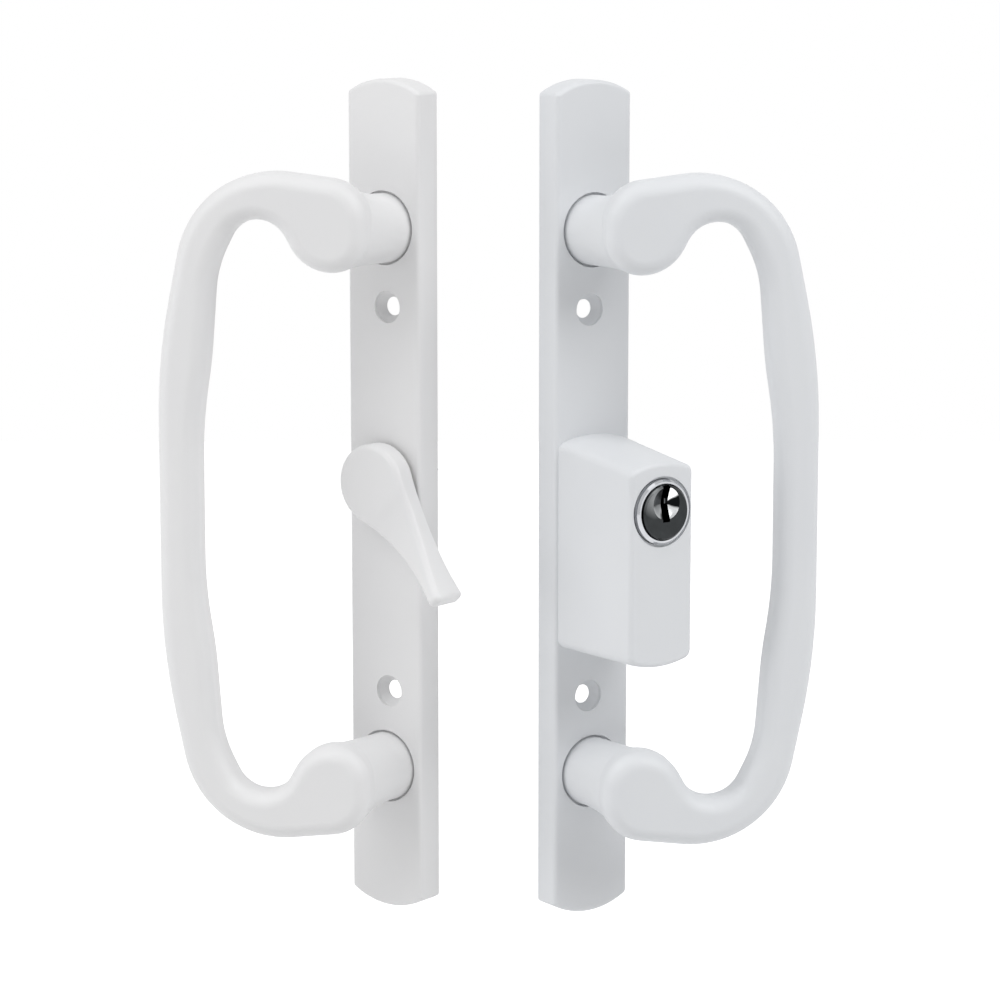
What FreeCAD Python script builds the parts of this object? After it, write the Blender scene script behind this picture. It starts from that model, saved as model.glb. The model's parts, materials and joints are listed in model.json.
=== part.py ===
import FreeCAD, Part
import math
import os

# Sliding patio door handle: an inside half with a latch lever and an outside half with a
# key cylinder. All lengths are millimetres, angles are degrees.
# Each half is drawn in its own frame: X across the plate, Y into the door with the plate's
# front face at Y = 0, Z up with Z = 0 midway between the mounting screws. "Out" is a
# distance in front of the plate's face, so it is measured along -Y.

# How the two halves stand
inside_yaw = 37.8
outside_yaw = 35.2
halves_apart_across = 53.4
halves_apart_deep = -5.6

# Plates, both halves
plate_width = 23.5
plate_side_height = 208.8
plate_end_rise = 3.3
plate_thickness = 7.3
plate_face_wall = 2.2
plate_side_wall = 2.0
plate_corner_radius = 1.2
plate_edge_radius = 1.2
rib_thickness = 1.6
rib_setback = 1.5

# Mounting screw holes
screw_spacing = 100.0
screw_hole_offset = 1.2
screw_hole_radius = 2.4
countersink_radius = 4.15
countersink_lip = 1.0
screw_wall = 3.0
screw_pad_radius = 6.0
rib_from_screw = 9.5

# Grip
stub_spacing = 140.2
stub_radius = 8.85
stub_gap = 0.65
stub_recess_depth = 1.2
stub_column_radius = 8.6
stub_straight = 3.0
grip_lean = 25.0
grip_plane_out = 19.8
grip_thickness = 12.0
grip_reach = 45.4
grip_bar_width = 10.4
grip_edge_radius = 4.2
paddle_foot = 9.7
paddle_end = 9.7
bar_bend_drop = 32.6
bar_inner_taper = 2.6
neck_inset = 0.25
neck_head = 13.2
neck_blend_radius = 2.5
hollow_start = 13.8
hollow_from_bar = 10.8
hollow_rise = 3.3
hollow_radius = 8.5

# Outline of the grip in its leaning plane, from the bar's outer side round the upper stub to
# the bar's inner side: distance across from the stub, height above the stub, corner radius
grip_bar_inner = grip_reach - grip_bar_width
grip_outline = ((grip_reach, -bar_bend_drop, 160.0),
                (grip_reach - 10.5, 18.1, 26.0),
                (-paddle_end, 12.5, 11.0),
                (-paddle_end, -paddle_foot, 9.3),
                (6.8, -paddle_foot, 12.0),
                (hollow_start, hollow_rise, hollow_radius),
                (grip_bar_inner - hollow_from_bar, hollow_rise, hollow_radius),
                (grip_bar_inner - 4.4, -9.4, 28.0),
                (grip_bar_inner - bar_inner_taper, -bar_bend_drop, 110.0),
                (grip_bar_inner, -49.1, 110.0))

# Grip screws, driven from behind the plate
grip_screw_radius = 2.5
grip_tap_depth = 12.0
grip_screw_head_radius = 4.6
grip_screw_head_height = 2.6
grip_screw_sink = 0.5
grip_screw_slack = 0.25
grip_screw_end_gap = 0.8
thread_gap = 0.03

# Screw heads, as shares of a head's height or radius
head_bevel_share = 0.35
slot_depth_share = 0.4
slot_width_share = 0.26

# Latch lever
lever_height = 4.8
lever_hang = 42.0
lever_hub_radius = 10.3
lever_lift = 1.1
lever_hub_out = 6.3
lever_length = 37.2
lever_tip_half_width = 2.1
lever_tip_out = 10.9
lever_tip_corner = 1.3
lever_tip_slope = 0.03
lever_shoulder = 24.0
lever_edge_radius = 1.6
lever_flat_share = 0.6
lever_dish = 0.35
lever_tip_sweep = 3.1

# Lever flank: share of the lever's length, how much narrower than the hub each side is there
lever_flank = ((0.34, 4.0), (0.62, 6.7))

# Lever front: share of the lever's length, rise above the hub's face
lever_front = ((0.42, -lever_dish), (0.72, lever_tip_out - lever_hub_out - lever_tip_sweep))

# Lever bearing behind the plate
spigot_radius = 4.5
spigot_end = 0.9
spigot_root = 0.5
bush_radius = 6.2
bush_flange_radius = 8.6
bush_flange = 0.8
bush_bore_gap = 0.05
bush_length = 4.2
lever_boss_radius = 8.4
spring_washer_radius = 7.6
spring_washer_thickness = 0.35
spring_washer_dish = 0.45
spring_washer_gap = 0.3
clip_thickness = 0.8
clip_radius = 6.6
clip_groove_depth = 0.8
clip_gap_width = 4.2
clip_play = 0.1

# Tailpieces that reach into the mortise lock
tail_reach = 12.0
lever_tail_width = 5.6
lever_tail_thickness = 2.2
lever_tail_seat = 7.0
key_tail_width = 6.4
key_tail_thickness = 1.6
key_tail_seat = 3.4
tail_fit_gap = 0.04
tail_tip_bevel = 0.5
tail_end_gap = 0.1

# Lock housing, cast with the outside plate
housing_out = 29.0
housing_base_width = 21.8
housing_face_width = 19.6
housing_base_top = 16.4
housing_face_top = 12.6
housing_bottom = 35.8
housing_end_rise = 1.8
housing_corner_radius = 2.4
housing_face_radius = 1.5
housing_front_wall = 2.5
housing_wall = 2.3

# Key cylinder
cylinder_height = 2.0
shell_radius = 8.2
shell_proud = 0.8
shell_rear_out = 3.0
shell_rim_bevel = 0.5
shell_lip_bevel = 0.3
shell_bore_gap = 0.12
shell_mouth_gap = 0.75
shell_mouth_depth = 0.9
tower_width = 8.0
tower_drop = 15.8
tower_gap = 0.2
plug_radius = 6.35
plug_gap = 0.04
plug_head_radius = 6.9
plug_head_depth = 1.6
plug_proud = 1.7
plug_face_bevel = 0.4
keyway_width = 2.2
keyway_foot = 2.4
keyway_end = 1.0
dish_radius = 4.1
dish_floor_radius = 0.6
dish_depth = 1.3
dish_rise = 2.3
ward_depth = 0.7
ward_height = 1.3
right_ward_rise = 2.1
left_ward_rise = -0.8
plug_rear_out = -1.4
pin_front_margin = 3.5
pin_rear_margin = 4.16
chamber_radius = 1.5
pin_gap = 0.06
pin_tip = 0.7
key_pin_lengths = (4.0, 4.8, 4.3, 5.1, 4.5)
pin_count = len(key_pin_lengths)
driver_pin_length = 4.6
spring_turns = 5
spring_wire = 0.3
spring_sides = 8
spring_gap = 0.1
pin_cover_width = 3.6
pin_cover_thickness = 0.8
pin_cover_overlap = 1.0
plug_clip_radius = 7.5
tail_pin_radius = 0.8
tail_pin_inset = 1.9
tail_pin_sink = 0.4
retainer_thickness = 1.2
retainer_half_width = 9.0
retainer_drop = 16.6
retainer_rise = 9.2
retainer_foot_corner = 2.0
retainer_head_corner = 3.0
retainer_gap = 0.25
retainer_hole_gap = 0.5
retainer_screw_radius = 1.4
retainer_screw_across = 7.0
retainer_screw_drop = 12.2
retainer_screw_length = 7.0
retainer_screw_head_radius = 2.1
retainer_screw_head_height = 1.2
housing_pocket_foot = 33.4

OVERCUT = 1.0
Vec = FreeCAD.Vector
UP = Vec(0, 0, 1)
OUTWARD = Vec(0, -1, 0)
ORIGIN = Vec(0, 0, 0)
half_pitch = stub_spacing / 2


def disc(radius, out_low, out_high, x=0.0, z=0.0):
    """Cylinder along the plate's normal between two distances in front of its face."""
    return Part.makeCylinder(radius, out_high - out_low, Vec(x, -out_low, z), OUTWARD)


def cone(radius_low, radius_high, out_low, out_high, x=0.0, z=0.0):
    """Cone along the plate's normal."""
    return Part.makeCone(radius_low, radius_high, out_high - out_low, Vec(x, -out_low, z), OUTWARD)


def block(x_low, x_high, out_low, out_high, z_low, z_high):
    """Box given by its limits across, out of the plate and up."""
    corner = Vec(x_low, -out_high, z_low)
    return Part.makeBox(x_high - x_low, out_high - out_low, z_high - z_low, corner)


def half_angles(points):
    """Half of the angle between the two sides that meet at each corner."""
    return [(points[i - 1] - here).getAngle(points[(i + 1) % len(points)] - here) / 2
            for i, here in enumerate(points)]


def fitted_reaches(points, halves, radii):
    """How far each corner's arc reaches along its sides, less where a side is too short for two."""
    wished = [radius / math.tan(half) for radius, half in zip(radii, halves)]
    fitted = list(wished)
    for i, here in enumerate(points):
        side = here.distanceToPoint(points[i - 1])
        both = wished[i] + wished[i - 1]
        if both > side:
            for k in (i, i - 1):
                fitted[k] = min(fitted[k], wished[k] * side / both)
    return fitted


def rounded_wire(corners):
    """Closed wire in the XZ plane: straight runs joined by tangent arcs at each (x, z, radius)."""
    points = [Vec(x, 0, z) for x, z, radius in corners]
    halves = half_angles(points)
    reaches = fitted_reaches(points, halves, [radius for x, z, radius in corners])
    arcs = []
    for i, (here, half, reach) in enumerate(zip(points, halves, reaches)):
        back = (points[i - 1] - here).normalize()
        ahead = (points[(i + 1) % len(points)] - here).normalize()
        bisector = (back + ahead).normalize()
        radius = reach * math.tan(half)
        centre = here + bisector * (radius / math.sin(half))
        arcs.append((here + back * reach, centre - bisector * radius, here + ahead * reach))
    edges = []
    for i, (start, middle, end) in enumerate(arcs):
        edges.append(Part.Arc(start, middle, end).toShape())
        next_start = arcs[(i + 1) % len(arcs)][0]
        if end.distanceToPoint(next_start) > 1e-4:
            edges.append(Part.LineSegment(end, next_start).toShape())
    return Part.Wire(Part.__sortEdges__(edges))


def prism(wire, out_low, out_high):
    """Extrude a wire of the XZ plane along the plate's normal."""
    base = wire.copy()
    base.translate(Vec(0, -out_low, 0))
    return Part.Face(base).extrude(Vec(0, out_low - out_high, 0))


def arched_prism(width, z_low, z_high, rise, corner_radius, out_low, out_high):
    """Upright strip whose two ends are shallow arches, with its four corners rounded."""
    half = width / 2
    strip = prism(arched_wire(half, z_low, z_high, rise), out_low, out_high)
    long_edges = [e for e in strip.Edges if e.BoundBox.YLength > 0.9 * (out_high - out_low)]
    return strip.makeFillet(corner_radius, long_edges)


def arched_wire(half, z_low, z_high, rise, out=0.0):
    """Outline of the strip before its corners are rounded, at a distance in front of the plate."""
    top = [Vec(-half, -out, z_high), Vec(0, -out, z_high + rise), Vec(half, -out, z_high)]
    low = [Vec(half, -out, z_low), Vec(0, -out, z_low - rise), Vec(-half, -out, z_low)]
    edges = [Part.Arc(*top).toShape(), Part.LineSegment(top[2], low[0]).toShape(),
             Part.Arc(*low).toShape(), Part.LineSegment(low[2], top[0]).toShape()]
    return Part.Wire(edges)


def edges_at(shape, out, tolerance=0.05):
    """Edges that lie wholly in one plane parallel to the plate's face."""
    return [e for e in shape.Edges
            if abs(e.BoundBox.YMin + out) < tolerance and abs(e.BoundBox.YMax + out) < tolerance]


def plate_blank():
    """Solid plate with arched ends and softened front edges."""
    half_height = plate_side_height / 2
    solid = arched_prism(plate_width, -half_height, half_height, plate_end_rise,
                         plate_corner_radius, -plate_thickness, 0)
    return solid.makeFillet(plate_edge_radius, edges_at(solid, 0.0))


def plate_hollow(column_heights, screw_heights):
    """The casting's open back: a pocket less the columns, pads and cross ribs left in it."""
    half_height = plate_side_height / 2 - plate_side_wall
    width = plate_width - 2 * plate_side_wall
    pocket = arched_prism(width, -half_height, half_height, plate_end_rise, plate_corner_radius,
                          -plate_thickness - OVERCUT, -plate_face_wall)
    kept = []
    for z in column_heights:
        kept.append(disc(stub_column_radius, -plate_thickness, 0, 0, z))
    for z in screw_heights:
        kept.append(disc(screw_pad_radius, -screw_wall, 0, -screw_hole_offset, z))
        rib = z - math.copysign(rib_from_screw, z)
        kept.append(block(-width / 2 - OVERCUT, width / 2 + OVERCUT, rib_setback - plate_thickness,
                          -plate_face_wall, rib - rib_thickness / 2, rib + rib_thickness / 2))
    return pocket.cut(kept)


def mounting_hole(z):
    """Through hole with a countersink in the front face."""
    sink = countersink_radius - screw_hole_radius
    through = disc(screw_hole_radius, -screw_wall - OVERCUT, OVERCUT, -screw_hole_offset, z)
    seat = cone(screw_hole_radius, countersink_radius, -sink - countersink_lip, -countersink_lip,
                -screw_hole_offset, z)
    lip = disc(countersink_radius, -countersink_lip, OVERCUT, -screw_hole_offset, z)
    return through.fuse([seat, lip])


def stub_seat(z):
    """Recess for the grip's stub, its screw's clearance hole and the screw head's counterbore."""
    recess = disc(stub_radius + stub_gap, -stub_recess_depth, OVERCUT, 0, z)
    hole = disc(grip_screw_radius + grip_screw_slack, -plate_thickness - OVERCUT, 0, 0, z)
    counterbore = disc(grip_screw_head_radius + grip_screw_slack, -plate_thickness - OVERCUT,
                       grip_screw_head_height + grip_screw_sink - plate_thickness, 0, z)
    return recess.fuse([hole, counterbore])


def plate_with_seats():
    """Plate common to both halves, with the grip on the +X side."""
    stub_heights = (-half_pitch, half_pitch)
    hole_heights = (-screw_spacing / 2, screw_spacing / 2)
    plate = plate_blank().cut(plate_hollow(stub_heights, hole_heights))
    cuts = [stub_seat(z) for z in stub_heights]
    cuts += [mounting_hole(z) for z in hole_heights]
    return plate.cut(cuts)


def lean_out(shape):
    """Turn a shape of the XZ plane into the grip's plane, which leans away from the plate."""
    shape.rotate(ORIGIN, UP, -grip_lean)
    shape.translate(Vec(0, -grip_plane_out, 0))
    return shape


def ring_points(across, low, high, count=16):
    """Points of an egg-shaped ring in the XZ plane, half width across, reach down and up."""
    points = []
    for i in range(count):
        angle = 2 * math.pi * i / count
        reach = high if math.sin(angle) > 0 else low
        points.append(Vec(across * math.cos(angle), 0, reach * math.sin(angle)))
    return points


def closed_curve(points):
    """Smooth closed wire through points."""
    spline = Part.BSplineCurve()
    spline.interpolate(Points=points, PeriodicFlag=True)
    return Part.Wire(spline.toShape())


def grip_neck(z):
    """Round stub that flares into the back of the paddle."""
    sections = []
    for out in (-stub_recess_depth, stub_straight):
        ring = ring_points(stub_radius, stub_radius, stub_radius)
        sections.append(closed_curve([p + Vec(0, -out, z) for p in ring]))
    foot = paddle_foot - neck_inset
    reach_down, reach_up = (foot, neck_head) if z > 0 else (neck_head, foot)
    egg = ring_points(paddle_end - neck_inset, reach_down, reach_up)
    sections.append(lean_out(closed_curve([p + Vec(0, 0, z) for p in egg])))
    return Part.makeLoft(sections, True, False)


def seam_edges(joined, first, second):
    """Edges of a fused solid that lie on the skins of both pieces it was made from."""
    seam = []
    for edge in joined.Edges:
        middle = Part.Vertex(edge.valueAt((edge.FirstParameter + edge.LastParameter) / 2))
        on_first = min(middle.distToShape(face)[0] for face in first.Faces) < 1e-4
        if on_first and min(middle.distToShape(face)[0] for face in second.Faces) < 1e-4:
            seam.append(edge)
    return seam


def grip():
    """D-shaped grip on the +X side: one leaning loop with a stub at each end."""
    upper = [(across, half_pitch + up, radius) for across, up, radius in grip_outline]
    lower = [(x, -z, r) for x, z, r in reversed(upper)]
    loop = prism(rounded_wire(upper + lower), -grip_thickness / 2, grip_thickness / 2)
    rims = edges_at(loop, grip_thickness / 2) + edges_at(loop, -grip_thickness / 2)
    loop = lean_out(loop.makeFillet(grip_edge_radius, rims))
    body = loop
    for z in (-half_pitch, half_pitch):
        neck = grip_neck(z)
        joined = body.fuse(neck)
        body = joined.makeFillet(neck_blend_radius, seam_edges(joined, body, neck))
    tapped = grip_screw_radius + thread_gap
    holes = [disc(tapped, -stub_recess_depth - OVERCUT, grip_tap_depth - stub_recess_depth, 0, z)
             for z in (-half_pitch, half_pitch)]
    return body.cut(holes).removeSplitter()


def pan_screw(radius, length, head_radius, head_height, seat_out, x, z, slot_angle):
    """Screw driven from behind: the head's underside lies at seat_out, the shank points out."""
    shank = disc(radius, seat_out, seat_out + length, x, z)
    head = disc(head_radius, seat_out - head_height, seat_out, x, z)
    top = seat_out - head_height
    head = head.makeChamfer(head_height * head_bevel_share, edges_at(head, top))
    half_slot = head_radius * slot_width_share / 2
    slot = block(-head_radius - OVERCUT, head_radius + OVERCUT, top - OVERCUT,
                 top + head_height * slot_depth_share, -half_slot, half_slot)
    slot.rotate(ORIGIN, Vec(0, 1, 0), slot_angle)
    slot.translate(Vec(x, 0, z))
    return shank.fuse(head).cut(slot)


def grip_screw(z, slot_angle):
    """Screw that draws the grip's stub into its recess."""
    seat_out = grip_screw_head_height + grip_screw_sink - plate_thickness
    length = grip_tap_depth - stub_recess_depth - grip_screw_end_gap - seat_out
    return pan_screw(grip_screw_radius, length, grip_screw_head_radius, grip_screw_head_height,
                     seat_out, 0, z, slot_angle)


def mirrored(shape):
    """The same piece for the half whose grip is on the -X side."""
    return shape.mirror(ORIGIN, Vec(1, 0, 0))


def lever_outline():
    """Teardrop seen from the front, hub at the origin and tip straight down."""
    tip = lever_tip_half_width
    hub = lever_hub_radius
    length = lever_length
    corner = lever_tip_corner
    leave = math.radians(lever_shoulder)
    hub_point = Vec(hub * math.cos(leave), 0, -hub * math.sin(leave))
    hub_tangent = Vec(-math.sin(leave), 0, -math.cos(leave))
    tip_point = Vec(tip, 0, corner - length)
    flank = [Vec(hub - narrower, 0, -share * length) for share, narrower in lever_flank]
    right = Part.BSplineCurve()
    right.interpolate(Points=[hub_point] + flank + [tip_point], InitialTangent=hub_tangent,
                      FinalTangent=Vec(-lever_tip_slope, 0, -1))
    tip_left = Vec(-tip, 0, corner - length)
    low_right = Vec(tip - corner, 0, -length)
    low_left = Vec(corner - tip, 0, -length)
    bend = corner * (1 - math.sqrt(0.5))
    edges = [Part.Arc(Vec(-hub_point.x, 0, hub_point.z), Vec(0, 0, hub), hub_point).toShape(),
             right.toShape(),
             Part.Arc(tip_point, Vec(tip - bend, 0, bend - length), low_right).toShape(),
             Part.LineSegment(low_right, low_left).toShape(),
             Part.Arc(low_left, Vec(bend - tip, 0, bend - length), tip_left).toShape(),
             right.toShape().mirror(ORIGIN, Vec(1, 0, 0))]
    return Part.Wire(Part.__sortEdges__(edges))


def lever_side_profile():
    """Side view of the lever as a prism across it: flat hub, dished blade, thick raised tip."""
    length = lever_length
    ramp_start = Vec(0, -lever_hub_out, -lever_hub_radius * lever_flat_share)
    ramp_end = Vec(0, -lever_tip_out, -length)
    between = [Vec(0, -lever_hub_out - rise, -share * length) for share, rise in lever_front]
    ramp = Part.BSplineCurve()
    ramp.interpolate(Points=[ramp_start] + between + [ramp_end], InitialTangent=Vec(0, 0, -1))
    wide = lever_hub_radius + OVERCUT
    past = Vec(0, -lever_tip_out, -length - OVERCUT)
    back_low = Vec(0, -lever_lift, -length - OVERCUT)
    back_high = Vec(0, -lever_lift, wide)
    front_high = Vec(0, -lever_hub_out, wide)
    edges = [ramp.toShape(),
             Part.LineSegment(ramp_end, past).toShape(),
             Part.LineSegment(past, back_low).toShape(),
             Part.LineSegment(back_low, back_high).toShape(),
             Part.LineSegment(back_high, front_high).toShape(),
             Part.LineSegment(front_high, ramp_start).toShape()]
    side = Part.Face(Part.Wire(edges))
    side.translate(Vec(-wide, 0, 0))
    return side.extrude(Vec(2 * wide, 0, 0))


def hang(shape):
    """Turn a lever piece from hanging straight down to its rest angle, at the pivot's height."""
    shape.rotate(ORIGIN, Vec(0, 1, 0), -lever_hang)
    shape.translate(Vec(0, 0, lever_height))
    return shape


def clip_groove_out():
    """Front face of the retaining clip, just behind the spring washer."""
    return -bush_length - spring_washer_dish - spring_washer_thickness - clip_play


def spigot_rear():
    """Rear end of the lever's spigot, a little behind the clip groove."""
    return clip_groove_out() - clip_thickness - clip_play - spigot_end


def latch_lever():
    """Lever with the spigot that turns in the bush."""
    blade = prism(lever_outline(), 0, lever_tip_out + OVERCUT).common(lever_side_profile())
    dish_start = -lever_hub_radius * lever_flat_share
    front = [e for e in blade.Edges if e.BoundBox.YMax < -lever_hub_out + 2 * lever_dish
             and abs(e.CenterOfMass.z - dish_start) > 0.05]
    blade = blade.makeFillet(lever_edge_radius, front)
    clip_front = clip_groove_out()
    rear = spigot_rear()
    spigot = disc(spigot_radius, rear, lever_lift + spigot_root)
    groove = disc(spigot_radius + OVERCUT, clip_front - clip_thickness - clip_play, clip_front)
    groove = groove.cut(disc(spigot_radius - clip_groove_depth, rear, OVERCUT))
    slot = block(-lever_tail_width / 2 - tail_fit_gap, lever_tail_width / 2 + tail_fit_gap,
                 rear - OVERCUT, rear + lever_tail_seat,
                 -lever_tail_thickness / 2 - tail_fit_gap, lever_tail_thickness / 2 + tail_fit_gap)
    return hang(blade.fuse(spigot).cut([groove, slot]).removeSplitter())


def lever_tailpiece():
    """Flat bar pressed into the spigot, which turns the lock's hub."""
    tip = -plate_thickness - tail_reach
    bar = block(-lever_tail_width / 2, lever_tail_width / 2, tip,
                spigot_rear() + lever_tail_seat - tail_end_gap,
                -lever_tail_thickness / 2, lever_tail_thickness / 2)
    return hang(bar.makeChamfer(tail_tip_bevel, edges_at(bar, tip)))


def lever_clip():
    """Open retaining ring in the spigot's groove."""
    front = clip_groove_out() - clip_play / 2
    ring = disc(clip_radius, front - clip_thickness, front)
    hole = disc(spigot_radius - clip_groove_depth + tail_fit_gap, front - clip_thickness - OVERCUT,
                front + OVERCUT)
    mouth = block(-clip_gap_width / 2, clip_gap_width / 2, front - clip_thickness - OVERCUT,
                  front + OVERCUT, 0, clip_radius + OVERCUT)
    return hang(ring.cut([hole, mouth]))


def lever_spring_washer():
    """Dished washer between the bush boss and the clip."""
    inner = spigot_radius + spring_washer_gap
    outer = spring_washer_radius
    front = -bush_length
    dish = spring_washer_dish
    thick = spring_washer_thickness
    section = Part.makePolygon([Vec(outer, -front, 0), Vec(inner, dish - front, 0),
                                Vec(inner, dish + thick - front, 0), Vec(outer, thick - front, 0),
                                Vec(outer, -front, 0)])
    washer = Part.Face(section).revolve(ORIGIN, Vec(0, 1, 0), 360)
    washer.translate(Vec(0, 0, lever_height))
    return washer


def lever_bush():
    """Flanged plastic bush in the plate."""
    body = disc(bush_radius, -bush_length, 0)
    flange = disc(bush_flange_radius, 0, bush_flange)
    bore = disc(spigot_radius + bush_bore_gap, -bush_length - OVERCUT, bush_flange + OVERCUT)
    bush = body.fuse(flange).cut(bore)
    bush.translate(Vec(0, 0, lever_height))
    return bush


def inside_plate():
    """Plate of the inside half, with the boss that carries the lever's bush."""
    plate = mirrored(plate_with_seats())
    boss = disc(lever_boss_radius, -bush_length, -plate_face_wall / 2, 0, lever_height)
    hole = disc(bush_radius, -plate_thickness - OVERCUT, OVERCUT, 0, lever_height)
    return plate.fuse(boss).cut(hole).removeSplitter()


def housing_blank():
    """Tapered block with arched ends and a soft-edged face."""
    base = arched_wire(housing_base_width / 2, -housing_bottom, housing_base_top,
                       housing_end_rise, -plate_face_wall / 2)
    face = arched_wire(housing_face_width / 2, -housing_bottom, housing_face_top,
                       housing_end_rise, housing_out)
    solid = Part.makeLoft([base, face], True, True)
    long_edges = [e for e in solid.Edges if e.BoundBox.YLength > 0.9 * housing_out]
    solid = solid.makeFillet(housing_corner_radius, long_edges)
    return solid.makeFillet(housing_face_radius, edges_at(solid, housing_out))


def housing_cavity():
    """Keyhole-shaped bore for the cylinder, its tower slot, and the coring below and behind."""
    depth = -plate_thickness - OVERCUT
    inner = housing_out - housing_front_wall
    slot = tower_width / 2 + tower_gap
    floor = cylinder_height - tower_drop - tower_gap
    seat = shell_rear_out
    bore = disc(shell_radius + shell_bore_gap, depth, housing_out + OVERCUT, 0, cylinder_height)
    mouth = disc(shell_radius + shell_mouth_gap, housing_out - shell_mouth_depth,
                 housing_out + OVERCUT, 0, cylinder_height)
    tower = block(-slot, slot, depth, inner + tower_gap, floor, cylinder_height)
    wide = retainer_half_width + retainer_gap
    rear = block(-wide, wide, depth, seat, cylinder_height - retainer_drop - retainer_gap,
                 cylinder_height + retainer_rise + retainer_gap)
    lower_half = housing_face_width / 2 - housing_wall
    lower = block(-lower_half, lower_half, depth, inner, -housing_pocket_foot,
                  floor - housing_wall)
    taps = [disc(retainer_screw_radius + thread_gap, seat - OVERCUT, seat + retainer_screw_length,
                 side * retainer_screw_across, cylinder_height - retainer_screw_drop)
            for side in (-1, 1)]
    return bore.fuse([mouth, tower, rear, lower] + taps)


def outside_plate():
    """Plate of the outside half with the lock housing cast on its front."""
    plate = plate_with_seats()
    thick = arched_prism(plate_width - 2 * plate_side_wall, -housing_bottom, housing_base_top,
                         housing_end_rise, housing_corner_radius, -plate_thickness,
                         -plate_face_wall / 2)
    return plate.fuse([thick, housing_blank()]).cut(housing_cavity()).removeSplitter()


def pin_out(index):
    """Distance of a pin chamber in front of the plate: they are spread evenly over the tower."""
    first = housing_out - housing_front_wall - pin_front_margin
    last = shell_rear_out + pin_rear_margin
    return first + (last - first) * index / (pin_count - 1)


def upright_disc(radius, z_low, z_high, out):
    """Vertical cylinder on the cylinder's centre line."""
    return Part.makeCylinder(radius, z_high - z_low, Vec(0, -out, z_low), UP)


def driver_pin_top():
    """Height at which the driver pins stand, at the bottom of the shell's bore."""
    return cylinder_height - plug_radius - plug_gap


def cylinder_shell():
    """Barrel with a bright rim and the tower that holds the driver pins."""
    front = housing_out + shell_proud
    inner = housing_out - housing_front_wall
    barrel = disc(shell_radius, shell_rear_out, front, 0, cylinder_height)
    barrel = barrel.makeChamfer(shell_rim_bevel, edges_at(barrel, front))
    half = tower_width / 2
    tower = block(-half, half, shell_rear_out, inner, cylinder_height - tower_drop, cylinder_height)
    bore = disc(plug_radius + plug_gap, shell_rear_out - OVERCUT, front + OVERCUT, 0,
                cylinder_height)
    seat = plug_head_radius + plug_gap
    head = disc(seat, front - plug_head_depth, front + OVERCUT, 0, cylinder_height)
    lip = cone(seat, seat + shell_lip_bevel, front - shell_lip_bevel, front, 0, cylinder_height)
    chambers = [upright_disc(chamber_radius, cylinder_height - tower_drop - OVERCUT,
                             cylinder_height, pin_out(i)) for i in range(pin_count)]
    cover = pin_cover_solid(pin_gap, OVERCUT)
    return barrel.fuse(tower).cut([bore, head, lip, cover] + chambers).removeSplitter()


def pin_cover_solid(side_gap, below):
    """Strip that closes the pin chambers, or the groove for it when given gaps."""
    half = pin_cover_width / 2 + side_gap
    low = cylinder_height - tower_drop - below
    high = cylinder_height - tower_drop + pin_cover_thickness
    reach = chamber_radius + pin_cover_overlap + side_gap
    first = pin_out(0) + reach
    last = pin_out(pin_count - 1) - reach
    return block(-half, half, last, first, low, high)


def keyway():
    """Slot open at the top of the plug, with a ward on each side and a dished mouth."""
    front = housing_out + plug_proud
    half = keyway_width / 2
    foot = cylinder_height - keyway_foot
    top = cylinder_height + plug_head_radius + OVERCUT
    rear = pin_out(pin_count - 1) - chamber_radius - keyway_end
    slot = block(-half, half, rear, front + OVERCUT, foot, top)
    right_low = cylinder_height + right_ward_rise
    right = block(half - ward_depth, half + OVERCUT, rear - OVERCUT, front - plug_head_depth,
                  right_low, right_low + ward_height)
    left_low = cylinder_height + left_ward_rise
    left = block(-half - OVERCUT, ward_depth - half, rear - OVERCUT, front - plug_head_depth,
                 left_low, left_low + ward_height)
    dish_z = cylinder_height + dish_rise
    dish = cone(dish_floor_radius, dish_radius, front - dish_depth, front, 0, dish_z)
    lead = disc(dish_radius, front, front + OVERCUT, 0, dish_z)
    return slot.cut([right, left]).fuse([dish, lead])


def key_plug():
    """Turning plug with its head, keyway, pin chambers, clip groove and tailpiece slot."""
    front = housing_out + plug_proud
    head_back = housing_out + shell_proud - plug_head_depth + plug_gap
    axis_z = cylinder_height
    body = disc(plug_radius, plug_rear_out, head_back, 0, axis_z)
    head = disc(plug_head_radius, head_back, front, 0, axis_z)
    head = head.makeChamfer(plug_face_bevel, edges_at(head, front))
    chambers = [upright_disc(chamber_radius, axis_z - plug_radius - OVERCUT, axis_z, pin_out(i))
                for i in range(pin_count)]
    clip_front = shell_rear_out - clip_play
    groove = disc(plug_radius + OVERCUT, clip_front - clip_thickness - clip_play, clip_front, 0,
                  axis_z)
    groove = groove.cut(disc(plug_radius - clip_groove_depth, plug_rear_out, front, 0, axis_z))
    half_wide = key_tail_width / 2 + tail_fit_gap
    half_thick = key_tail_thickness / 2 + tail_fit_gap
    slot = block(-half_wide, half_wide, plug_rear_out - OVERCUT, plug_rear_out + key_tail_seat,
                 axis_z - half_thick, axis_z + half_thick)
    return body.fuse(head).cut([keyway(), groove, slot, tail_pin_hole(0.0)] + chambers)


def tail_pin_hole(shrink):
    """Upright pin through plug and tailpiece."""
    reach = math.sqrt(plug_radius ** 2 - tail_pin_radius ** 2) - tail_pin_sink
    out = plug_rear_out + tail_pin_inset
    return upright_disc(tail_pin_radius - shrink, cylinder_height - reach, cylinder_height + reach,
                        out)


def key_pin(index):
    """Cone-tipped pin that rides on the key; its flat end just stays within the plug."""
    radius = chamber_radius - pin_gap
    base = cylinder_height - math.sqrt(plug_radius ** 2 - radius ** 2)
    length = key_pin_lengths[index]
    body = upright_disc(radius, base, base + length - pin_tip, pin_out(index))
    tip = Part.makeCone(radius, radius - pin_tip, pin_tip,
                        Vec(0, -pin_out(index), base + length - pin_tip), UP)
    return body.fuse(tip)


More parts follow.
